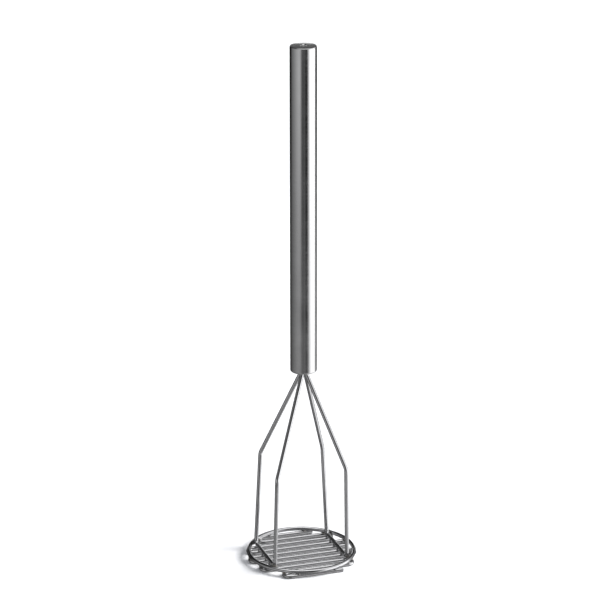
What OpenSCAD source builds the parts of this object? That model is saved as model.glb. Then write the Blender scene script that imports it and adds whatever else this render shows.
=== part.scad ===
// Long-handled potato masher with a round wire head, all stainless steel.
// Millimetres. +Z is up, along the handle. The origin lies on the worktop, under the middle
// of the rim. +X runs along the grid, towards the two cut ends of its wire.

/* [Overall] */
// Height from the worktop to the top of the handle
overall_height = 610.6; // [580:0.1:640]

/* [Wire] */
// Diameter of the drawn wire that the legs, rim and grid are bent from
wire_d = 4.76; // [4.4:0.02:5]
// Thickness of weld metal between two wires that are joined
weld_film = 0.1; // [0.06:0.02:0.2]

/* [Rim and grid] */
// Outside diameter of the rim
rim_od = 127; // [125:1:131]
// Number of parallel runs in the grid wire
run_count = 10; // [8:2:10]
// Distance between neighbouring runs, centre to centre
run_pitch = 12.7; // [12:0.1:12.8]
// How far the turns of the grid wire stand out past the rim
turn_overhang = 0.5; // [0.3:0.1:1]
// Distance of the grid wire's cut ends from the middle, along X
cut_end_x = 32; // [29:0.5:35]
// Length of the bevel on a cut end
end_bevel = 0.5; // [0.2:0.1:0.8]

/* [Legs] */
// Direction of each foot, seen from above, away from the X axis
foot_angle = 39; // [37:0.1:42]
// How far the two leg frames are turned on the grid, as welded by hand
foot_twist = 0.8; // [-1:0.1:1]
// Bend radius at the feet, on the wire's centre line
foot_bend_r = 7; // [6:0.5:8]
// Height of the knees, halfway up the legs
knee_z = 117; // [105:1:130]
// Distance of the back knees from the middle, along X
back_knee_x = 37.8; // [34:0.2:42]
// Distance of the left front knee from the middle, along X
left_front_knee_x = 40.4; // [37:0.2:44]
// Distance of the right front knee from the middle, along X
right_front_knee_x = 42.2; // [37:0.2:44]
// Distance of every knee from the middle, along Y
knee_y = 36.4; // [33:0.2:39]
// How much the hand-bent left frame's back knee is raised and its front knee lowered
left_skew = 2.6; // [-4:0.1:4]
// The same for the right frame
right_skew = -0.5; // [-4:0.1:4]
// Bend radius at the knees and under the handle, on the wire's centre line
knee_bend_r = 12; // [8:1:14]
// How far under the handle the four wires start to spread
spread_drop = 3; // [2.6:0.2:6]
// Length of wire that stands inside the handle, above its lower end
wire_insert = 30; // [20:1:60]

/* [Handle] */
// Length of the handle over both caps
handle_length = 381; // [350:1:400]
// Outside diameter of the handle tube
handle_od = 30.4; // [28:0.2:34]
// Wall of the tube and thickness of the pressed caps
sheet = 1.2; // [1:0.1:1.5]
// How far the handle stands off the middle of the rim, along X
handle_x = 3; // [0:0.5:4]

/* [Caps] */
// Radius of the polished edge round the top cap
top_edge_r = 1; // [0.8:0.1:1.6]
// Radius of the edge round the bottom cap
bottom_edge_r = 1.6; // [1.6:0.1:2.4]
// Height of the top cap's gentle crown
crown = 0.4; // [0.2:0.1:0.6]
// Diameter of the pip pressed into the middle of the top cap
pip_d = 6.6; // [4:0.2:8]
// Depth of that pip
pip_depth = 0.6; // [0.4:0.1:0.7]
// Depth of the skirt that each cap pushes into the tube
skirt = 8; // [5:1:12]

/* [Hidden] */
$fn = 64;

polished = "#b9bcc0";
satin = "#a9acb0";
bare_weld = "#8d8e90";

wire_r = wire_d / 2;
bend_swell = 0.04;
bend_lap = 0.2;
left = -1;
right = 1;

// Levels of the three layers of wire: the grid lies on the worktop, and the rim and the
// legs' crossbars lie on the grid, a film of weld metal above it.
grid_z = wire_r;
rim_z = grid_z + wire_d + weld_film;
lower_joint_z = grid_z + wire_r + weld_film / 2;

// Radius of the rim's centre line, and of the circle that the feet stand on inside it
rim_r = rim_od / 2 - wire_r;
foot_r = rim_r - wire_d - weld_film;

// Middle of a foot: side is left or right, and way is 1 at the back and -1 at the front.
function foot_direction(side, way) =
    (side == left ? 180 : 0) + side * way * foot_angle + foot_twist;
function foot(side, way) =
    foot_r * [cos(foot_direction(side, way)), sin(foot_direction(side, way))];

turn_r = run_pitch / 2;

handle_r = handle_od / 2;
bore_r = handle_r - sheet;
handle_bottom = overall_height - handle_length;
tube_bottom = handle_bottom + bottom_edge_r;
tube_top = overall_height - crown - top_edge_r;
bundle_z = handle_bottom - spread_drop;
// The four wires stand two by two in the handle's lower end.
bundle_half = (wire_d + weld_film) / 2;
wire_hole_r = bundle_half * sqrt(2) + wire_r + 0.4;

// Welds: the beads between crossed wires, the larger ones at the feet, and the plug
bead_r = 2.3;
foot_bead_r = 2.4;
foot_bead_lift = 1.6;
foot_bead_angle = 7;
foot_bead_x = rim_r - wire_r - weld_film;
plug_collar = 1.6;
plug_drop = 1.8;
seam_overlap = 0.2;

function unit(v) = v / norm(v);
// Rounds to a hundredth, so that neighbouring pieces of the flat grid wire meet exactly.
function to_grid(length) = round(length * 100) / 100;

// A bent wire is a list of corner points, with a bend radius for each corner.
function heading(points, i) = unit(points[i + 1] - points[i]);
function turn_angle(points, i) = acos(heading(points, i - 1) * heading(points, i));
function is_end(points, i) = i == 0 || i == len(points) - 1;
function trim(points, radii, i) =
    is_end(points, i) ? 0 : radii[i] * tan(turn_angle(points, i) / 2);
// Any direction at right angles to v
function across(v) = unit(cross(v, abs(v.x) < 0.7 ? [1, 0, 0] : [0, 1, 0]));

// Places a shape with its own X and Y axes along two directions at right angles.
module place(at, x, y) {
    z = cross(x, y);
    multmatrix([
        [x.x, y.x, z.x, at.x],
        [x.y, y.y, z.y, at.y],
        [x.z, y.z, z.z, at.z]
    ]) children();
}

module straight(points, radii, i) {
    way = heading(points, i);
    side = across(way);
    start = points[i] + trim(points, radii, i) * way;
    end = points[i + 1] - trim(points, radii, i + 1) * way;
    place(start, side, cross(way, side)) cylinder(h = norm(end - start), r = wire_r);
}

// A bend laps over the straight wire at both its ends, and is a hair thicker, as bent wire
// swells, so that the whole wire is one solid.
module bend(points, radii, i) {
    way = heading(points, i - 1);
    next = heading(points, i);
    inward = unit(next - (way * next) * way);
    centre = points[i] - trim(points, radii, i) * way + radii[i] * inward;
    lap = bend_lap / radii[i] * 180 / PI;
    place(centre, -inward, way) rotate([0, 0, -lap])
        rotate_extrude(angle = turn_angle(points, i) + 2 * lap)
            translate([radii[i], 0]) circle(r = wire_r + bend_swell);
}

module bent_wire(points, radii) {
    for (i = [0 : len(points) - 2]) straight(points, radii, i);
    for (i = [1 : len(points) - 2]) bend(points, radii, i);
}

// One leg frame: down out of the handle, out to the back knee, down to the rim, across the
// grid as the crossbar, and back up the same way at the front.
function leg_points(side, front_knee_x, skew) = [
    [handle_x + side * bundle_half, bundle_half, handle_bottom + wire_insert],
    [handle_x + side * bundle_half, bundle_half, bundle_z],
    [side * back_knee_x, knee_y, knee_z + skew],
    [foot(side, 1).x, foot(side, 1).y, rim_z],
    [foot(side, -1).x, foot(side, -1).y, rim_z],
    [side * front_knee_x, -knee_y, knee_z - skew],
    [handle_x + side * bundle_half, -bundle_half, bundle_z],
    [handle_x + side * bundle_half, -bundle_half, handle_bottom + wire_insert]
];
leg_radii = [
    0, knee_bend_r, knee_bend_r, foot_bend_r,
    foot_bend_r, knee_bend_r, knee_bend_r, 0
];

module leg_shape(side) {
    points = side == left
        ? leg_points(left, left_front_knee_x, left_skew)
        : leg_points(right, right_front_knee_x, right_skew);
    bent_wire(points, leg_radii);
}

module rim_shape() {
    translate([0, 0, rim_z]) rotate_extrude() translate([rim_r, 0]) circle(r = wire_r);
}

// The grid wire's runs are numbered from the front. Left turns join runs 0 and 1, 2 and 3,
// and so on. Right turns join the pairs between them, and leave the two outer runs free.
function run_y(i) = (i - (run_count - 1) / 2) * run_pitch;
function turn_y(i) = run_y(i) + turn_r;
function turn_x(i) =
    to_grid(sqrt(pow(rim_od / 2 + turn_overhang, 2) - pow(turn_y(i), 2)) - turn_r - wire_r);
function left_turn_of(i) = i - i % 2;
function right_turn_of(i) = i - (i + 1) % 2;
function run_end_x(i) =
    (i == 0 || i == run_count - 1) ? cut_end_x - end_bevel : turn_x(right_turn_of(i));

module run(i) {
    from_x = -turn_x(left_turn_of(i));
    translate([from_x, run_y(i), grid_z]) rotate([0, 90, 0])
        cylinder(h = run_end_x(i) - from_x, r = wire_r);
}

module turn(side, i) {
    translate([side * turn_x(i), turn_y(i), grid_z]) rotate([0, 0, -90 * side])
        rotate_extrude(angle = 180) translate([turn_r, 0]) circle(r = wire_r);
}

module cut_end(i) {
    translate([cut_end_x - end_bevel, run_y(i), grid_z]) rotate([0, 90, 0])
        cylinder(h = end_bevel, r1 = wire_r, r2 = wire_r - end_bevel);
}

module grid_shape() {
    for (i = [0 : run_count - 1]) run(i);
    for (i = [0 : 2 : run_count - 2]) turn(left, i);
    for (i = [1 : 2 : run_count - 3]) turn(right, i);
    cut_end(0);
    cut_end(run_count - 1);
}

// Where the rim crosses a turn, on its low side (half = -1) or high side (half = 1), seen
// on the right. Near the front and back the rim crosses the straight run before the turn.
function run_crossing(y) = [sqrt(pow(rim_r, 2) - pow(y, 2)), y];
function turn_crossing(i, half) =
    let (
        centre = [turn_x(i), turn_y(i)],
        out = norm(centre),
        along = (pow(out, 2) + pow(rim_r, 2) - pow(turn_r, 2)) / (2 * out),
        aside = sqrt(pow(rim_r, 2) - pow(along, 2)),
        at = along * centre / out + half * aside * [-centre.y, centre.x] / out
    )
    at.x > centre.x ? at : run_crossing(turn_y(i) + half * turn_r);

module bead(at, z) {
    translate([at.x, at.y, z]) sphere(r = bead_r);
}

module turn_beads(side, i) {
    for (half = [-1, 1]) {
        at = turn_crossing(i, half);
        bead([side * at.x, at.y], lower_joint_z);
    }
}

// Profile of a cap's right half, drawn with the tube's end at height 0 and the cap above
// it: a rounded plate, and a skirt that fits the tube's bore.
module cap_plate(edge_r) {
    square([handle_r - edge_r, edge_r]);
    intersection() {
        translate([handle_r - edge_r, 0]) circle(r = edge_r);
        square([handle_r, edge_r]);
    }
}

module cap_hollow(edge_r) {
    translate([0, -skirt]) square([bore_r - sheet, skirt + edge_r - sheet]);
}

module cap_skirt() {
    translate([0, -skirt]) square([bore_r, skirt]);
}

module handle_tube() {
    tube_length = tube_top - tube_bottom;
    color(satin) translate([handle_x, 0, tube_bottom]) difference() {
        cylinder(h = tube_length, r = handle_r);
        translate([0, 0, -1]) cylinder(h = tube_length + 2, r = bore_r);
    }
}

// Radius of the sphere that a shallow dome or dimple is cut from
function dome_r(half_width, height) = (pow(half_width, 2) + pow(height, 2)) / (2 * height);

module cap_crown() {
    flat_r = handle_r - top_edge_r;
    intersection() {
        translate([0, top_edge_r + crown - dome_r(flat_r, crown)])
            circle(r = dome_r(flat_r, crown), $fn = 720);
        translate([0, top_edge_r - seam_overlap]) square([flat_r, crown + seam_overlap]);
    }
}

module top_cap() {
    pip_r = dome_r(pip_d / 2, pip_depth);
    color(polished) translate([handle_x, 0, tube_top]) difference() {
        rotate_extrude() difference() {
            union() {
                cap_plate(top_edge_r);
                cap_crown();
                cap_skirt();
            }
            cap_hollow(top_edge_r);
        }
        translate([0, 0, top_edge_r + crown + pip_r - pip_depth]) sphere(r = pip_r);
    }
}

module bottom_cap() {
    color(polished) translate([handle_x, 0, tube_bottom]) mirror([0, 0, 1])
        rotate_extrude() difference() {
            union() {
                cap_plate(bottom_edge_r);
                cap_skirt();
            }
            cap_hollow(bottom_edge_r);
            square([wire_hole_r, bottom_edge_r + 1]);
        }
}

module leg_frame_left() {
    color(polished) leg_shape(left);
}

module leg_frame_right() {
    color(polished) leg_shape(right);
}

module rim_ring() {
    color(polished) rim_shape();
}

module grid_wire() {
    color(polished) grid_shape();
}

module wire_plug_weld() {
    plug_height = bottom_edge_r + plug_drop;
    color(bare_weld) difference() {
        translate([handle_x, 0, handle_bottom - plug_drop]) union() {
            cylinder(h = plug_drop, r1 = wire_hole_r - plug_drop / 2, r2 = wire_hole_r + plug_collar);
            cylinder(h = plug_height, r = wire_hole_r);
        }
        leg_shape(left);
        leg_shape(right);
    }
}

// Each foot is joined to the rim by a short bead that follows the rim round.
module foot_welds() {
    color(bare_weld) difference() {
        for (side = [left, right]) for (way = [-1, 1])
            rotate([0, 0, foot_direction(side, way) - foot_bead_angle / 2])
                translate([0, 0, rim_z]) rotate_extrude(angle = foot_bead_angle) difference() {
                    translate([foot_bead_x, foot_bead_lift]) circle(r = foot_bead_r);
                    translate([rim_r, 0]) circle(r = wire_r);
                }
        leg_shape(left);
        leg_shape(right);
    }
}

module rim_welds() {
    color(bare_weld) difference() {
        union() {
            for (i = [0 : 2 : run_count - 2]) turn_beads(left, i);
            for (i = [1 : 2 : run_count - 3]) turn_beads(right, i);
            bead(run_crossing(run_y(0)), lower_joint_z);
            bead(run_crossing(run_y(run_count - 1)), lower_joint_z);
        }
        rim_shape();
        grid_shape();
    }
}

// Where a crossbar passes over the line y
function crossbar_x(side, y) =
    let (back = foot(side, 1), front = foot(side, -1))
    front.x + (back.x - front.x) * (y - front.y) / (back.y - front.y);

// Whether the crossbar still lies flat there, clear of the bends at its feet
function on_crossbar(side, y) =
    y > foot(side, -1).y + turn_r / 2 && y < foot(side, 1).y - turn_r / 2;

module crossbar_welds() {
    color(bare_weld) difference() {
        for (side = [left, right]) for (i = [0 : run_count - 1])
            if (on_crossbar(side, run_y(i)))
                bead([crossbar_x(side, run_y(i)), run_y(i)], lower_joint_z);
        leg_shape(left);
        leg_shape(right);
        grid_shape();
    }
}

handle_tube();
top_cap();
bottom_cap();
leg_frame_left();
leg_frame_right();
rim_ring();
grid_wire();
wire_plug_weld();
foot_welds();
rim_welds();
crossbar_welds();
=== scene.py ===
# %% [markdown]
# # A catering potato masher in Blender
#
# The object is a long-handled masher, all of it stainless steel: a polished tube, two pressed
# caps, four wire legs and a flat round head of bent wire. The CAD model already holds every
# size. This script rebuilds each piece as a smooth mesh of the same size, gives it the finish
# that its making leaves on it, and stands it in a small white studio.

# %% Load the CAD frame
import math

import bmesh
import bpy
from mathutils import Matrix, Vector


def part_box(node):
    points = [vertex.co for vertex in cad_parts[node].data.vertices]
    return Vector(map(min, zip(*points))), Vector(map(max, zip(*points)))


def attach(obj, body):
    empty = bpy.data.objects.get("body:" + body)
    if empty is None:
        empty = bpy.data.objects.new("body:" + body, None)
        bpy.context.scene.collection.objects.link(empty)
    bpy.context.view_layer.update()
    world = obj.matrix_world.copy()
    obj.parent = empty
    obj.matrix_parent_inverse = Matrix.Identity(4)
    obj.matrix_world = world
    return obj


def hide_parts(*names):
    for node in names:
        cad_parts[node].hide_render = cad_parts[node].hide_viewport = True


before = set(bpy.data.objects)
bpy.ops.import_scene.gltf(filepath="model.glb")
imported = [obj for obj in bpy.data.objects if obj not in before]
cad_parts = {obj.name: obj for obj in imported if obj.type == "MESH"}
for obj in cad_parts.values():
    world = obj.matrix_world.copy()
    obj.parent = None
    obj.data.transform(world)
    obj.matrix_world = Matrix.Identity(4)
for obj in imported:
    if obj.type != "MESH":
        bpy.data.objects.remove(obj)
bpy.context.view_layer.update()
MM = 0.001
BODY = "root"
print("CAD nodes:", ", ".join(sorted(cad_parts)))

# %% [markdown]
# ## Reading sizes off the frame
#
# Nothing is placed by eye. A round piece is known from its box: the middle gives its axis and
# half the width its radius. Everything else is worked out from those few numbers.


# %% Sizes of the round pieces
def middle_and_radius(node):
    """The middle of a round node's box, and half its width."""
    low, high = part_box(node)
    return (low + high) / 2, (high.x - low.x) / 2


tube_low, tube_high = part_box("handle_tube")
tube_middle, TUBE_R = middle_and_radius("handle_tube")
rim_middle, RIM_OUT_R = middle_and_radius("rim_ring")
rim_low, rim_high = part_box("rim_ring")
WIRE_R = (rim_high.z - rim_low.z) / 2
RIM_R = RIM_OUT_R - WIRE_R
SHEET = 1.2 * MM  # wall of the tube and thickness of the caps
print(f"tube {TUBE_R / MM:.2f} mm radius, wire {2 * WIRE_R / MM:.2f} mm, rim {2 * RIM_OUT_R / MM:.1f} mm")

# %% [markdown]
# ## The camera
#
# A tall, thin thing is best seen through a long lens from a few metres away, so that the handle
# hardly tapers. The camera stands well above it and looks down, which opens the round head into
# an ellipse and shows the grid.

# %% Camera
# Metres along the floor and up, then how far round to the left of the front, in degrees.
CAMERA_DISTANCE = 3.1998
CAMERA_HEIGHT = 1.4444
CAMERA_SIDE = 17.922
# Where it points, also in degrees, and its lens and sensor in millimetres.
HEADING = 17.903
TILT_DOWN = 19.443
ROLL = -0.075
LENS = 180.6
SENSOR = 36.0

side = math.radians(CAMERA_SIDE)
camera = bpy.data.objects.new("camera", bpy.data.cameras.new("camera"))
camera.data.lens = LENS
camera.data.sensor_width = SENSOR
camera.data.clip_end = 50.0  # metres, past the far edge of the floor
stand = Vector((-CAMERA_DISTANCE * math.sin(side), -CAMERA_DISTANCE * math.cos(side), CAMERA_HEIGHT))
camera.matrix_world = (
    Matrix.Translation(stand)
    @ Matrix.Rotation(-math.radians(HEADING), 4, "Z")
    @ Matrix.Rotation(math.radians(90 - TILT_DOWN), 4, "X")
    @ Matrix.Rotation(math.radians(ROLL), 4, "Z")
)
bpy.context.scene.collection.objects.link(camera)
bpy.context.scene.camera = camera
bpy.context.scene.view_settings.view_transform = "Standard"
print(f"camera {CAMERA_DISTANCE:.2f} m away, {LENS:.0f} mm lens")

# %% [markdown]
# ## Small helpers for materials
#
# A colour is written as the sRGB hex value a person would pick, and one function turns it to
# the linear value the renderer works in. One more function adds a node, sets it and links it.
# Every piece is bare metal, so the third starts each material: metallic, with its base colour.
# The last adds the fine lines that polishing or drawing leaves: a little tone and a little depth.


# %% Colour and node helpers
def linear(hex_colour):
    """An sRGB hex colour as linear red, green, blue and alpha."""
    values = []
    for start in (1, 3, 5):
        value = int(hex_colour[start:start + 2], 16) / 255
        values.append(value / 12.92 if value <= 0.04045 else ((value + 0.055) / 1.055) ** 2.4)
    return (*values, 1.0)


def add_node(tree, kind, settings=None, links=None):
    """Adds a shader node. Settings name its properties or input sockets, links its inputs."""
    node = tree.nodes.new("ShaderNode" + kind)
    for key, value in (settings or {}).items():
        if isinstance(key, str) and hasattr(node, key):
            setattr(node, key, value)
        else:
            node.inputs[key].default_value = value
    for socket, source in (links or {}).items():
        tree.links.new(source, node.inputs[socket])
    return node


def new_metal(name, colour, roughness):
    """A bare metal to start from: the material, its node tree and its shader."""
    material = bpy.data.materials.new(name)
    material.use_nodes = True
    shader = material.node_tree.nodes["Principled BSDF"]
    shader.inputs["Base Color"].default_value = linear(colour)
    shader.inputs["Metallic"].default_value = 1.0
    shader.inputs["Roughness"].default_value = roughness
    return material, material.node_tree, shader


def line_marks(tree, shader, colour, lines, darkest, lightest, depth):
    """Lets a pattern of fine lines vary the metal's brightness and press into it by a depth."""
    tone = add_node(tree, "MapRange", {"From Min": 0.25, "From Max": 0.75, "To Min": darkest,
                                       "To Max": lightest}, {"Value": lines.outputs[0]})
    tint = add_node(tree, "VectorMath", {"operation": "SCALE", 0: linear(colour)[:3]},
                    {"Scale": tone.outputs[0]})
    tree.links.new(tint.outputs[0], shader.inputs["Base Color"])
    bump = add_node(tree, "Bump", {"Strength": 1.0, "Distance": depth}, {"Height": lines.outputs[0]})
    tree.links.new(bump.outputs[0], shader.inputs["Normal"])


# %% [markdown]
# ## The studio
#
# Polished metal has hardly any look of its own: it shows the room. A studio for metal is
# therefore built round it. Here that room is painted on the world by direction. A tall
# white panel stands on the right, a dim grey one on the left, black cloth hangs behind both,
# and the dark camera side shows as the dark stripe down the handle. The camera itself sees
# plain white.
#
# Each band of the room is a ramp of brightness over compass bearing. The bands are stacked by
# height, because the pieces look at different heights: the leaning legs down at the floor, the
# upright ones a little above it, the handle nearly level, the caps and crossbars at the wall
# behind, and the wires of the grid at the soft light overhead.

# %% World: panels and black cloth, by compass direction
world = bpy.data.worlds.new("studio")
bpy.context.scene.world = world
world.use_nodes = True
room = world.node_tree
room.nodes.clear()

to_camera = Vector((-math.sin(side), -math.cos(side), 0.0))
to_right = Vector((math.cos(side), -math.sin(side), 0.0))
direction = add_node(room, "TexCoord").outputs["Generated"]
ahead = add_node(room, "VectorMath", {"operation": "DOT_PRODUCT", 1: to_camera}, {0: direction})
aside = add_node(room, "VectorMath", {"operation": "DOT_PRODUCT", 1: to_right}, {0: direction})
bearing = add_node(room, "Math", {"operation": "ARCTAN2"},
                   {0: aside.outputs["Value"], 1: ahead.outputs["Value"]})
turn = add_node(room, "MapRange", {"From Min": -math.pi, "From Max": math.pi},
                {"Value": bearing.outputs[0]})
rise = add_node(room, "SeparateXYZ", {}, {"Vector": direction}).outputs["Z"]


def bearing_ramp(stops):
    """Brightness by bearing: 0 degrees is towards the camera and 90 is to its right."""
    ramp = add_node(room, "ValToRGB", {}, {"Fac": turn.outputs[0]})
    band = ramp.color_ramp
    band.interpolation = "LINEAR"
    while len(band.elements) > 1:
        band.elements.remove(band.elements[-1])
    for index, (degrees, level) in enumerate(stops):
        position = degrees / 360 + 0.5
        element = band.elements[0] if index == 0 else band.elements.new(position)
        element.position = position
        element.color = (level, level, level, 1.0)
    return ramp.outputs["Color"]


# The top of the handle mirrors the far side of the room, where the left panel is bright. Its
# lower end mirrors a lower, nearer band, where the panel is dimmer. The black cloths leave a gap
# straight behind, and level with the object the white backdrop shows through it.
far_panels = (
    (-122, 0.0), (-114, 0.15), (-104, 0.22), (-80, 0.36), (-60, 0.55), (-42, 0.70), (-31, 0.76),
    (-25, 0.66), (-16, 0.24), (-8, 0.08), (0, 0.08), (10, 0.10), (17, 0.035), (29, 0.0), (35, 0.11),
    (44, 0.78), (53, 1.9), (108, 2.2), (115, 0.9),
)
far_room = bearing_ramp(((-180, 0.6), (-170, 0.5), (-160, 0.03)) + far_panels
                        + ((121, 0.1), (140, 0.02), (160, 0.03), (170, 0.5), (180, 0.6)))
level_room = bearing_ramp(((-180, 1.5), (-164, 1.5), (-157, 0.04)) + far_panels
                          + ((122, 0.5), (140, 0.2), (157, 0.2), (164, 1.5), (180, 1.5)))
near_room = bearing_ramp((
    (-180, 0.5), (-170, 0.4), (-160, 0.03), (-148, 0.02), (-132, 0.08), (-114, 0.14), (-88, 0.20),
    (-66, 0.24), (-46, 0.26), (-28, 0.18), (-10, 0.09), (0, 0.09), (8, 0.13), (15, 0.12), (24, 0.0),
    (32, 0.04), (41, 0.22), (50, 0.62), (60, 1.5), (70, 2.0), (108, 2.0), (120, 0.40), (135, 0.16),
    (155, 0.08), (168, 0.4), (180, 0.5),
))
leg_room = bearing_ramp((
    (-180, 0.4), (-165, 0.3), (-150, 0.04), (-110, 0.26), (-70, 0.44), (-20, 0.42), (20, 0.38),
    (45, 0.50), (62, 0.85), (90, 1.2), (135, 1.2), (148, 0.4), (165, 0.3), (180, 0.4),
))
floor_room = bearing_ramp((
    (-180, 0.05), (-125, 0.06), (-95, 0.14), (-55, 0.22), (-15, 0.22), (12, 0.26), (28, 0.5), (45, 1.3),
    (140, 1.3), (152, 0.3), (180, 0.05),
))
wall_room = bearing_ramp((
    (-180, 0.15), (-140, 0.10), (-100, 0.14), (-60, 0.25), (-30, 0.22), (-5, 0.08), (25, 0.07),
    (42, 0.5), (60, 1.2), (112, 1.2), (128, 0.35), (160, 0.15), (180, 0.15),
))
high_room = bearing_ramp((
    (-180, 0.0), (-130, 0.0), (-90, 0.12), (-50, 0.2), (-15, 0.09), (22, 0.06), (42, 0.5), (60, 1.1),
    (110, 1.1), (128, 0.3), (160, 0.03), (180, 0.0),
))
print("room painted in seven bands, below a soft light overhead")


def blend_up(lower, upper, start, end):
    """Goes from one part of the room to the next between two angles above the horizon."""
    share = add_node(room, "MapRange", {"From Min": math.sin(math.radians(start)),
                                        "From Max": math.sin(math.radians(end)),
                                        "interpolation_type": "SMOOTHSTEP"}, {"Value": rise})
    mix = add_node(room, "Mix", {"data_type": "RGBA"}, {"Factor": share.outputs[0], 6: lower, 7: upper})
    return mix.outputs[2]


OVERHEAD = 1.9
UNDERFOOT = 0.22
AMBIENT = 0.53
roof = add_node(room, "RGB")
roof.outputs[0].default_value = (OVERHEAD, OVERHEAD, OVERHEAD, 1.0)
nadir = add_node(room, "RGB")
nadir.outputs[0].default_value = (UNDERFOOT, UNDERFOOT, UNDERFOOT, 1.0)
# Each band, and the two heights in degrees between which it takes over from the one below it.
stack = (
    (floor_room, -56, -49), (leg_room, -34, -27), (near_room, -23.5, -21.5), (far_room, -20.8, -14),
    (level_room, -13, -9), (wall_room, 9, 12), (high_room, 18, 25), (roof.outputs[0], 57, 73),
)
whole_room = nadir.outputs[0]
for band, start, end in stack:
    whole_room = blend_up(whole_room, band, start, end)
lit_room = add_node(room, "Background", {"Strength": 1.0}, {"Color": whole_room})
soft_fill = add_node(room, "Background", {"Color": linear("#eef1f6"), "Strength": AMBIENT})
backdrop = add_node(room, "Background", {"Color": (1.0, 1.0, 1.0, 1.0), "Strength": 1.0})
who_looks = add_node(room, "LightPath")
metal_sees = add_node(room, "MixShader", {}, {
    0: who_looks.outputs["Is Glossy Ray"], 1: soft_fill.outputs[0], 2: lit_room.outputs[0]})
seen = add_node(room, "MixShader", {}, {
    0: who_looks.outputs["Is Camera Ray"], 1: metal_sees.outputs[0], 2: backdrop.outputs[0]})
add_node(room, "OutputWorld", {}, {"Surface": seen.outputs[0]})
print(f"mirrored light {OVERHEAD} overhead, soft fill {AMBIENT}")

# %% [markdown]
# ## Floor and key light
#
# The floor is a white sheet, lit until it is pure white. Only close to the head does a soft
# grey shadow stay, on the side away from the key light. The floor is kept out of the metal's
# reflections, because the painted room already stands for it there.

# %% Floor and key light
FLOOR_HALF = 12.0  # metres, so that its edges are never in view
floor_mesh = bpy.data.meshes.new("floor")
floor_mesh.from_pydata(
    [(-FLOOR_HALF, -FLOOR_HALF, 0), (FLOOR_HALF, -FLOOR_HALF, 0), (FLOOR_HALF, FLOOR_HALF, 0),
     (-FLOOR_HALF, FLOOR_HALF, 0)], [], [(0, 1, 2, 3)])
floor = bpy.data.objects.new("floor", floor_mesh)
bpy.context.scene.collection.objects.link(floor)
paper = bpy.data.materials.new("white_paper")
paper.use_nodes = True
paper_shader = paper.node_tree.nodes["Principled BSDF"]
paper_shader.inputs["Base Color"].default_value = linear("#f4f4f5")
paper_shader.inputs["Roughness"].default_value = 0.9
paper_shader.inputs["Specular IOR Level"].default_value = 0.0
floor_mesh.materials.append(paper)
floor.visible_glossy = False

# Degrees: compass bearing, height above the floor, and how wide the soft light looks.
KEY_BEARING = 91.0
KEY_HEIGHT = 37.0
KEY_SPREAD = 34.0
KEY_STRENGTH = 4.8
key_bearing = math.radians(KEY_BEARING)
key_height = math.radians(KEY_HEIGHT)
key_way = (math.cos(key_bearing) * to_camera + math.sin(key_bearing) * to_right) * math.cos(key_height)
key_way.z = math.sin(key_height)
key = bpy.data.objects.new("key_light", bpy.data.lights.new("key_light", "SUN"))
key.data.energy = KEY_STRENGTH
key.data.angle = math.radians(KEY_SPREAD)
key.rotation_mode = "QUATERNION"
key.rotation_quaternion = key_way.to_track_quat("Z", "Y")
key.visible_glossy = False
bpy.context.scene.collection.objects.link(key)
print(f"key light {KEY_HEIGHT} degrees up")

# %% [markdown]
# ## Turned and pressed pieces
#
# The tube and the caps are round about one axis, so each is an outline spun into a mesh, as it
# would be on a lathe. The outline is a closed loop, so the wall has a real thickness. The UV
# map is laid out in metres, round the piece and along its outline, and the brush lines use it.

# %% Lathe
ON_AXIS = 1e-7  # metres: a point closer to the axis than this is the pole of the piece
LATHE_STEPS = 160
SHARP_EDGE = 35.0  # degrees between two faces


def finish_mesh(name, mesh, material):
    """A mesh with smooth shading but for its real edges, as a piece of the body."""
    for face in mesh.polygons:
        face.use_smooth = True
    mesh.set_sharp_from_angle(angle=math.radians(SHARP_EDGE))
    mesh.materials.append(material)
    piece = bpy.data.objects.new(name, mesh)
    bpy.context.scene.collection.objects.link(piece)
    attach(piece, BODY)
    return piece


def spin(name, outline, centre, material):
    """Spins a closed outline of (radius, height) points round the vertical axis at centre."""
    mesh = bpy.data.meshes.new(name)
    build = bmesh.new()
    uv_map = build.loops.layers.uv.new("metres")
    lengths = [0.0]
    for (r0, z0), (r1, z1) in zip(outline, outline[1:] + outline[:1]):
        lengths.append(lengths[-1] + math.hypot(r1 - r0, z1 - z0))
    rings = []
    for radius, height in outline:
        if radius < ON_AXIS:
            rings.append([build.verts.new((centre.x, centre.y, height))] * LATHE_STEPS)
            continue
        ring = []
        for step in range(LATHE_STEPS):
            angle = 2 * math.pi * step / LATHE_STEPS
            ring.append(build.verts.new((centre.x + radius * math.cos(angle),
                                         centre.y + radius * math.sin(angle), height)))
        rings.append(ring)
    for row in range(len(outline)):
        after = (row + 1) % len(outline)
        if outline[row][0] < ON_AXIS and outline[after][0] < ON_AXIS:
            continue
        for step in range(LATHE_STEPS):
            follow = (step + 1) % LATHE_STEPS
            corners = [(rings[row][step], step, row), (rings[row][follow], step + 1, row),
                       (rings[after][follow], step + 1, row + 1), (rings[after][step], step, row + 1)]
            unique = []
            for corner in corners:
                if corner[0] not in [kept[0] for kept in unique]:
                    unique.append(corner)
            face = build.faces.new([corner[0] for corner in unique])
            for loop, (_, around, along) in zip(face.loops, unique):
                loop[uv_map].uv = (around / LATHE_STEPS * 2 * math.pi * TUBE_R, lengths[along])
    bmesh.ops.recalc_face_normals(build, faces=build.faces)
    build.to_mesh(mesh)
    build.free()
    return finish_mesh(name, mesh, material)


def arc_points(middle, radius, start, end, steps):
    """Points on an arc, from angle start to end in degrees, both ends included."""
    points = []
    for step in range(steps + 1):
        angle = math.radians(start + (end - start) * step / steps)
        points.append((middle[0] + radius * math.cos(angle), middle[1] + radius * math.sin(angle)))
    return points


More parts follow.
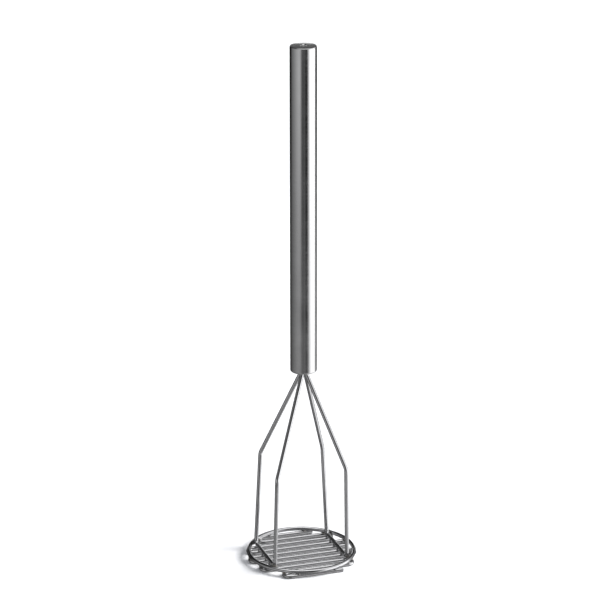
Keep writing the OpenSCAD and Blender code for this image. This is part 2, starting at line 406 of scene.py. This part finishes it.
# %% [markdown]
# ## Satin polished tube
#
# The handle is a seamless stainless tube, polished on a centreless belt grinder: the tube spins
# as it feeds through, so the grit leaves fine lines round it. Lines round a tube blur what it
# mirrors up and down but not sideways. That is why the handle shows long upright stripes with
# quite crisp sides. The real lines are about 0.05 mm apart. They are drawn coarser here, so that
# they don't turn into noise at this distance. The caps are buffed with a cloth wheel afterwards,
# which leaves the same metal a little smoother.

# %% Material: satin polished stainless tube and buffed caps
BELT_LINE = 0.35 * MM
BELT_STRETCH = 60  # a line is this many times longer than it is wide
WAVE = 30 * MM  # patches where the belt pressed harder


def belt_polished(name, colour, roughness, line_depth):
    """Metal with fine lines round it, and patches that are a little duller or brighter."""
    material, tree, shader = new_metal(name, colour, roughness)
    uv = add_node(tree, "UVMap", {"uv_map": "metres"}).outputs["UV"]
    # Lines run round the piece: fine along its length, long around it.
    stretch = add_node(tree, "Mapping", {"Scale": (1 / (BELT_STRETCH * BELT_LINE), 1 / BELT_LINE, 1.0)},
                       {"Vector": uv})
    lines = add_node(tree, "TexNoise", {"noise_dimensions": "2D", "Scale": 1.0, "Detail": 3.0,
                                        "Roughness": 0.6}, {"Vector": stretch.outputs[0]})
    patches = add_node(tree, "TexNoise", {"noise_dimensions": "2D", "Scale": 1 / WAVE, "Detail": 2.0},
                       {"Vector": uv})
    mix = add_node(tree, "Math", {"operation": "MULTIPLY"}, {0: lines.outputs[0], 1: patches.outputs[0]})
    rough = add_node(tree, "MapRange", {"From Min": 0.1, "From Max": 0.5, "To Min": roughness - 0.05,
                                        "To Max": roughness + 0.07}, {"Value": mix.outputs[0]})
    tree.links.new(rough.outputs[0], shader.inputs["Roughness"])
    line_marks(tree, shader, colour, lines, 0.93, 1.04, line_depth)
    return material


tube_steel = belt_polished("satin_polished_stainless_tube", "#cbcbcc", 0.17, 0.0006 * MM)
cap_steel = belt_polished("buffed_stainless_cap", "#c9c9ca", 0.11, 0.0004 * MM)
print("belt lines", BELT_LINE / MM, "mm apart")

# %% [markdown]
# ## Handle tube
#
# The tube is cut to length and its ends are squared off, and the caps butt against them. Each
# joint is welded, ground and polished flush, so all that is left is a hairline. A tiny bevel on
# both sides of the joint draws it.

# %% Handle tube
SEAM = 0.12 * MM  # width of that bevel
TUBE_ROWS = 12
inner_r = TUBE_R - SHEET
tube = spin("handle_tube_polished", [
    (inner_r, tube_low.z), (TUBE_R - SEAM, tube_low.z), (TUBE_R, tube_low.z + SEAM),
    *[(TUBE_R, tube_low.z + (tube_high.z - tube_low.z) * part / TUBE_ROWS) for part in range(1, TUBE_ROWS)],
    (TUBE_R, tube_high.z - SEAM), (TUBE_R - SEAM, tube_high.z), (inner_r, tube_high.z),
], tube_middle, tube_steel)
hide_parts("handle_tube")
print("tube", round((tube_high.z - tube_low.z) / MM, 1), "mm long")

# %% [markdown]
# ## Top cap
#
# The cap is a cup pressed from sheet. It has a skirt that fits inside the tube, a rounded edge
# and a gentle crown, which keeps a thin flat disc from drumming. The press leaves a small pip in
# its middle, whose walls catch a little of the white backdrop.

# %% Top cap
cap_low, cap_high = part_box("top_cap")
PIP_STEPS = 16
FACE_STEPS = 12
EDGE_STEPS = 12
EDGE_STOP = 4  # degrees: the rounded edge ends here, and the joint's bevel goes on from it
PIP_R = 3.3 * MM
PIP_FLOOR_R = 2.3 * MM
PIP_DEPTH = 0.6 * MM
CROWN = 0.4 * MM
EDGE_R = cap_high.z - CROWN - tube_high.z
rim_top = tube_high.z + EDGE_R
skirt_r = inner_r
flat_r = TUBE_R - EDGE_R


def dome(half_width, rise, radius):
    """Height of a shallow dome at a radius, above its own edge."""
    ball = (half_width ** 2 + rise ** 2) / (2 * rise)
    return math.sqrt(ball ** 2 - radius ** 2) - (ball - rise)


top_face = []
for step in range(PIP_STEPS + 1):
    radius = PIP_R * step / PIP_STEPS
    wall = min(1.0, max(0.0, (radius - PIP_FLOOR_R) / (PIP_R - PIP_FLOOR_R)))
    sink = PIP_DEPTH * (1 - wall * wall * (3 - 2 * wall))
    top_face.append((radius, rim_top + dome(flat_r, CROWN, radius) - sink))
for step in range(1, FACE_STEPS + 1):
    radius = PIP_R + (flat_r - PIP_R) * step / FACE_STEPS
    top_face.append((radius, rim_top + dome(flat_r, CROWN, radius)))
edge = arc_points((flat_r, tube_high.z), EDGE_R, 90, EDGE_STOP, EDGE_STEPS)[1:]
top_cap = spin("top_cap_buffed", [
    *top_face, *edge, (TUBE_R - SEAM, tube_high.z), (skirt_r, tube_high.z), (skirt_r, cap_low.z),
    (skirt_r - SHEET, cap_low.z), (skirt_r - SHEET, rim_top - SHEET), (0.0, rim_top - SHEET),
], tube_middle, cap_steel)
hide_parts("top_cap")
print("top of the cap at", round(cap_high.z / MM, 1), "mm")

# %% [markdown]
# ## Bottom cap
#
# The lower cap is the same kind of pressed cup, turned over, with a rounder edge and no crown.
# A hole is punched in its middle for the four wires, and a plug of weld closes the hole.

# %% Bottom cap
bottom_low, bottom_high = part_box("bottom_cap")
BOTTOM_EDGE_STEPS = 10
BOTTOM_EDGE_R = tube_low.z - bottom_low.z
plug_out_r = middle_and_radius("wire_plug_weld")[1]
PLUG_COLLAR = 1.6 * MM  # how far the weld laps over the cap round the hole
hole_r = plug_out_r - PLUG_COLLAR
edge = arc_points((TUBE_R - BOTTOM_EDGE_R, tube_low.z), BOTTOM_EDGE_R, -90, -EDGE_STOP, BOTTOM_EDGE_STEPS)
bottom_cap = spin("bottom_cap_buffed", [
    (hole_r, bottom_low.z), *edge, (TUBE_R - SEAM, tube_low.z), (skirt_r, tube_low.z),
    (skirt_r, bottom_high.z), (skirt_r - SHEET, bottom_high.z), (skirt_r - SHEET, bottom_low.z + SHEET),
    (hole_r, bottom_low.z + SHEET),
], tube_middle, cap_steel)
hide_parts("bottom_cap")
print("wire hole", round(2 * hole_r / MM, 1), "mm across")

# %% [markdown]
# ## Drawn wire
#
# The wire was pulled cold through a die, which leaves very fine lines along it, and the finished
# head was electropolished, which rounds those lines off and leaves the wire bright but not quite
# like a mirror. The eye gets a thin white line and a dark one along each wire. The lines have to
# follow every bend, so the wire's UV map is laid out along it. They are drawn coarser than the
# real ones, which are finer than 0.05 mm.

# %% Material: bright drawn stainless wire
DIE_LINE = 0.25 * MM
DIE_STRETCH = 80
LINE_DEPTH = 0.004 * MM
PATCH = 9 * MM  # size of the patches that the polishing bath leaves


def drawn_wire(name, colour, roughness):
    """Metal with fine lines along it, and cloudy patches that are a little duller or brighter."""
    material, tree, shader = new_metal(name, colour, roughness)
    uv = add_node(tree, "UVMap", {"uv_map": "metres"}).outputs["UV"]
    stretch = add_node(tree, "Mapping", {"Scale": (1 / DIE_LINE, 1 / (DIE_STRETCH * DIE_LINE), 1.0)},
                       {"Vector": uv})
    lines = add_node(tree, "TexNoise", {"noise_dimensions": "2D", "Scale": 1.0, "Detail": 2.0},
                     {"Vector": stretch.outputs[0]})
    cloud = add_node(tree, "TexCoord").outputs["Object"]
    patches = add_node(tree, "TexNoise", {"Scale": 1 / PATCH, "Detail": 3.0}, {"Vector": cloud})
    rough = add_node(tree, "MapRange", {"From Min": 0.3, "From Max": 0.7, "To Min": roughness - 0.05,
                                        "To Max": roughness + 0.08}, {"Value": patches.outputs[0]})
    tree.links.new(rough.outputs[0], shader.inputs["Roughness"])
    line_marks(tree, shader, colour, lines, 0.88, 1.05, LINE_DEPTH)
    return material


wire_steel = drawn_wire("bright_drawn_stainless_wire", "#c6c6c8", 0.12)
print("drawing lines", DIE_LINE / MM, "mm apart")

# %% [markdown]
# ## Bending wire
#
# A bent wire is a row of corners, each with a bend radius. The path goes straight between them
# and round each corner on an arc. A ring of points is then carried along the path without
# twisting, which is how a real wire keeps its lines as it is bent.

# %% Path and sweep
WIRE_SIDES = 32
BEND_STEP = math.radians(5)
STRAIGHT_STEP = 6 * MM
END_BEVEL = 0.5 * MM
LEVEL_WAY = 0.5  # a direction counts as level when its rise is less than this


def rounded_path(corners, radii):
    """Points along straight stretches and arcs, from a row of corners."""
    path = [corners[0]]
    for before, corner, after, radius in zip(corners, corners[1:], corners[2:], radii[1:]):
        into = (corner - before).normalized()
        out = (after - corner).normalized()
        bend = into.angle(out)
        inward = (out - into * into.dot(out)).normalized()
        start = corner - into * radius * math.tan(bend / 2)
        centre = start + inward * radius
        add_straight(path, start)
        steps = max(3, math.ceil(bend / BEND_STEP))
        for step in range(1, steps + 1):
            angle = bend * step / steps
            path.append(centre - inward * radius * math.cos(angle) + into * radius * math.sin(angle))
    add_straight(path, corners[-1])
    return path


def add_straight(path, end):
    """Carries the path straight on to a point, in short steps."""
    start = path[-1]
    steps = max(1, math.ceil((end - start).length / STRAIGHT_STEP))
    for step in range(1, steps + 1):
        path.append(start.lerp(end, step / steps))


def sweep(name, path, material, closed=False):
    """A round wire along a path, with bevelled ends unless it is closed."""
    mesh = bpy.data.meshes.new(name)
    build = bmesh.new()
    uv_map = build.loops.layers.uv.new("metres")
    count = len(path)
    across = None
    rings = []
    lengths = []
    gone = 0.0
    for index, point in enumerate(path):
        before = path[index - 1] if index or closed else point
        after = path[(index + 1) % count] if index < count - 1 or closed else point
        way = ((point - before).normalized() + (after - point).normalized()).normalized()
        if across is None:
            # The first ring of a level wire starts at its top, any other one anywhere.
            across = way.orthogonal().normalized()
            if abs(way.z) < LEVEL_WAY:
                across = Vector((0, 0, 1)) - way * way.z
        across = (across - way * across.dot(way)).normalized()
        other = way.cross(across)
        if index:
            gone += (point - path[index - 1]).length
        spots = [(WIRE_R, 0.0)]
        if not closed and index == 0:
            spots = [(WIRE_R - END_BEVEL, 0.0), (WIRE_R, END_BEVEL)]
        if not closed and index == count - 1:
            spots = [(WIRE_R, -END_BEVEL), (WIRE_R - END_BEVEL, 0.0)]
        for radius, shift in spots:
            ring = []
            for step in range(WIRE_SIDES):
                angle = 2 * math.pi * step / WIRE_SIDES
                arm = across * math.cos(angle) + other * math.sin(angle)
                ring.append(build.verts.new(point + way * shift + arm * radius))
            rings.append(ring)
            lengths.append(gone + shift)
    pairs = list(zip(rings, rings[1:], lengths, lengths[1:]))
    if closed:
        pairs.append((rings[-1], rings[0], gone, gone + (path[0] - path[-1]).length))
    for ring, after, length, next_length in pairs:
        for step in range(WIRE_SIDES):
            follow = (step + 1) % WIRE_SIDES
            face = build.faces.new((ring[step], ring[follow], after[follow], after[step]))
            marks = ((step, length), (step + 1, length), (step + 1, next_length), (step, next_length))
            for loop, (around, along) in zip(face.loops, marks):
                loop[uv_map].uv = (around / WIRE_SIDES * 2 * math.pi * WIRE_R, along)
    if not closed:
        for ring in (rings[0], rings[-1]):
            build.faces.new(ring)
    bmesh.ops.recalc_face_normals(build, faces=build.faces)
    build.to_mesh(mesh)
    build.free()
    return finish_mesh(name, mesh, material)


# %% [markdown]
# ## Leg frames
#
# Each leg frame is one wire: down a back leg, across the grid as the crossbar, and up a front
# leg. Its corners are measured from the CAD solid. The solid is cut level at a few heights, the
# middle of each cut gives a point on a leg's axis, and two axes meet in a corner. So the small
# errors of the hand bending come along by themselves.

# %% Leg frames
KNEE_BEND = 12 * MM
FOOT_BEND = 7 * MM
# Heights of the cuts, as shares of the height of the handle's lower end: two below the knee and
# two above it, all clear of the bends.
LOWER_CUTS = (0.12, 0.44)
UPPER_CUTS = (0.58, 0.93)


def cut_middle(node, height, back):
    """Middle of a leg where a level plane cuts it, on the back (y > 0) or front side."""
    cut = bmesh.new()
    cut.from_mesh(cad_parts[node].data)
    result = bmesh.ops.bisect_plane(cut, geom=cut.verts[:] + cut.edges[:] + cut.faces[:],
                                    plane_co=(0, 0, height), plane_no=(0, 0, 1))
    points = [item.co.copy() for item in result["geom_cut"]
              if isinstance(item, bmesh.types.BMVert) and (item.co.y > 0) == back]
    cut.free()
    xs = [point.x for point in points]
    ys = [point.y for point in points]
    return Vector(((min(xs) + max(xs)) / 2, (min(ys) + max(ys)) / 2, height))


def meeting(line_a, line_b):
    """The point nearest to two axes, each given by two points."""
    (a0, a1), (b0, b1) = line_a, line_b
    way_a, way_b = (a1 - a0).normalized(), (b1 - b0).normalized()
    across, gap = way_a.dot(way_b), b0 - a0
    reach = (gap.dot(way_a) - gap.dot(way_b) * across) / (1 - across ** 2)
    return a0 + way_a * reach


def leg_corners(node, back):
    """Top end, spread corner, knee and foot of one leg."""
    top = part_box(node)[1].z
    under = bottom_low.z
    lower = [cut_middle(node, share * under, back) for share in LOWER_CUTS]
    upper = [cut_middle(node, share * under, back) for share in UPPER_CUTS]
    inside = [cut_middle(node, level, back) for level in (under + SHEET, top - SHEET)]
    foot_way = (lower[0] - lower[1]) / (lower[0].z - lower[1].z)
    foot = lower[0] + foot_way * (rim_middle.z - lower[0].z)
    end = Vector((inside[1].x, inside[1].y, top))
    return [end, meeting(inside, upper), meeting(lower, upper), foot]


for side_name in ("left", "right"):
    node = f"leg_frame_{side_name}"
    back_leg = leg_corners(node, True)
    front_leg = leg_corners(node, False)
    corners = back_leg + front_leg[::-1]
    radii = [0, KNEE_BEND, KNEE_BEND, FOOT_BEND, FOOT_BEND, KNEE_BEND, KNEE_BEND, 0]
    leg = sweep(f"{node}_drawn", rounded_path(corners, radii), wire_steel)
    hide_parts(node)
    knees = (back_leg[2], front_leg[2])
    print(node, "knees at", [tuple(round(value / MM, 1) for value in knee) for knee in knees])

# %% [markdown]
# ## Rim
#
# The rim is wire rolled into a hoop and closed with a butt weld that is ground away, so the
# sweep is closed too and has no ends.

# %% Rim
rim_path = []
RIM_STEPS = 240
for step in range(RIM_STEPS):
    angle = 2 * math.pi * step / RIM_STEPS
    rim_path.append(Vector((RIM_R * math.cos(angle), RIM_R * math.sin(angle), rim_middle.z)))
rim = sweep("rim_ring_drawn", rim_path, wire_steel, closed=True)
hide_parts("rim_ring")
print("rim", round(2 * RIM_OUT_R / MM, 1), "mm across")

# %% [markdown]
# ## Grid
#
# The grid is one long wire bent to and fro on pegs. Its turns reach just past the rim, so that
# each of them lies under the rim where it is welded. The box gives the spacing of the runs and
# the reach of the turns, and the CAD mesh shows where the two free ends are cut off.

# %% Grid wire
RUNS = 10
grid_low, grid_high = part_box("grid_wire")
grid_z = (grid_low.z + grid_high.z) / 2
pitch = (grid_high.y - grid_low.y - 2 * WIRE_R) / (RUNS - 1)
first_y = grid_low.y + WIRE_R
turn_reach = -grid_low.x
cut_end_x = max(vertex.co.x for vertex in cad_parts["grid_wire"].data.vertices
                if vertex.co.y < first_y + WIRE_R)


def turn_x(index):
    """Middle of the turn that joins a run to the next one, as a distance from the axis."""
    y = first_y + (index + 0.5) * pitch
    return math.sqrt(turn_reach ** 2 - y ** 2) - pitch / 2 - WIRE_R


TURN_STEPS = 24
grid_path = [Vector((cut_end_x, first_y, grid_z))]
for index in range(RUNS - 1):
    way = -1 if index % 2 == 0 else 1
    centre = Vector((way * turn_x(index), first_y + (index + 0.5) * pitch, grid_z))
    add_straight(grid_path, centre + Vector((0, -pitch / 2, 0)))
    for step in range(1, TURN_STEPS + 1):
        angle = -math.pi / 2 + math.pi * step / TURN_STEPS
        grid_path.append(centre + Vector((way * math.cos(angle), math.sin(angle), 0)) * pitch / 2)
add_straight(grid_path, Vector((cut_end_x, first_y + (RUNS - 1) * pitch, grid_z)))
grid = sweep("grid_wire_drawn", grid_path, wire_steel)
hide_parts("grid_wire")
print("grid pitch", round(pitch / MM, 2), "mm, cut ends at", round(cut_end_x / MM, 1), "mm")

# %% [markdown]
# ## Welds
#
# The wires were joined by resistance welding, which squeezes out a little collar of metal at
# each crossing. The feet have a small run of filler. Weld metal is duller than the wire, rippled
# where it froze, with a faint straw and grey tint left by the heat. The collars are small and
# plain, so they keep the shapes that the CAD model gives them.

# %% Material: pickled weld metal
RIPPLE = 0.9 * MM
RIPPLE_DEPTH = 0.12 * MM
HEAT_PATCH = 4 * MM


def weld_metal(name):
    """Duller metal, rippled and tinted in patches."""
    material, tree, shader = new_metal(name, "#8f8e8d", 0.38)
    place = add_node(tree, "TexCoord").outputs["Object"]
    ripple = add_node(tree, "TexNoise", {"Scale": 1 / RIPPLE, "Detail": 3.0}, {"Vector": place})
    heat = add_node(tree, "TexNoise", {"Scale": 1 / HEAT_PATCH, "Detail": 1.0}, {"Vector": place})
    tint = add_node(tree, "ValToRGB", {}, {"Fac": heat.outputs[0]})
    tint.color_ramp.elements[0].position = 0.35
    tint.color_ramp.elements[0].color = linear("#7b7c80")
    tint.color_ramp.elements[1].position = 0.7
    tint.color_ramp.elements[1].color = linear("#a19c94")
    tree.links.new(tint.outputs[0], shader.inputs["Base Color"])
    rough = add_node(tree, "MapRange", {"To Min": 0.28, "To Max": 0.5}, {"Value": ripple.outputs[0]})
    tree.links.new(rough.outputs[0], shader.inputs["Roughness"])
    bump = add_node(tree, "Bump", {"Strength": 1.0, "Distance": RIPPLE_DEPTH}, {"Height": ripple.outputs[0]})
    tree.links.new(bump.outputs[0], shader.inputs["Normal"])
    return material


weld_steel = weld_metal("pickled_weld_metal")
for node in ("wire_plug_weld", "foot_welds", "rim_welds", "crossbar_welds"):
    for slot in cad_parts[node].material_slots:
        slot.material = weld_steel
print("welds keep their CAD shapes")
